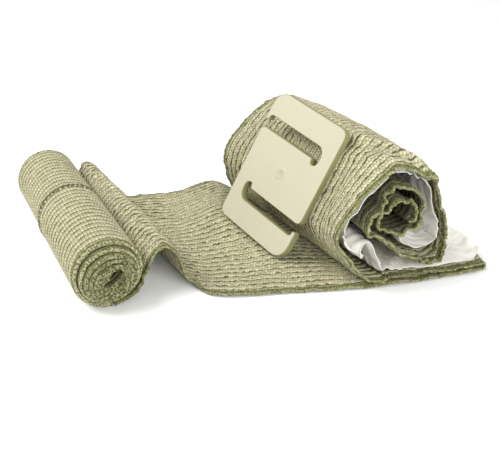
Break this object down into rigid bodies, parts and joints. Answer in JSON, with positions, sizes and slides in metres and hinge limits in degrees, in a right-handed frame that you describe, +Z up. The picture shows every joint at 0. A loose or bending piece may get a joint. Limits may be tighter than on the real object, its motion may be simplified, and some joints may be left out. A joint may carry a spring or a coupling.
{
  "type": "emergency trauma bandage",
  "caption": "Half-unrolled elastic trauma bandage: tight roll, flat run folded over into a loose coil, white dressing pad and a slotted pressure plate.",
  "frame": {"origin": "bottom centre of the object's bounding box, on the surface it lies on", "axes": "+X runs along the unrolled wrap from the supply roll to the loose coil, +Y across the wrap away from the near edge, +Z up"},
  "size_m": [0.1962, 0.1166, 0.0634],
  "materials": {
    "wrap": "matte ribbed knit",
    "pad": "matte nonwoven",
    "plate": "satin"
  },
  "bodies": {
    "root": {"supply_roll": "wrap", "flat_run": "wrap", "coil_turn": "wrap", "coil_tail": "wrap", "dressing_pad": "pad", "pressure_plate": "plate"}
  },
  "joints": []
}
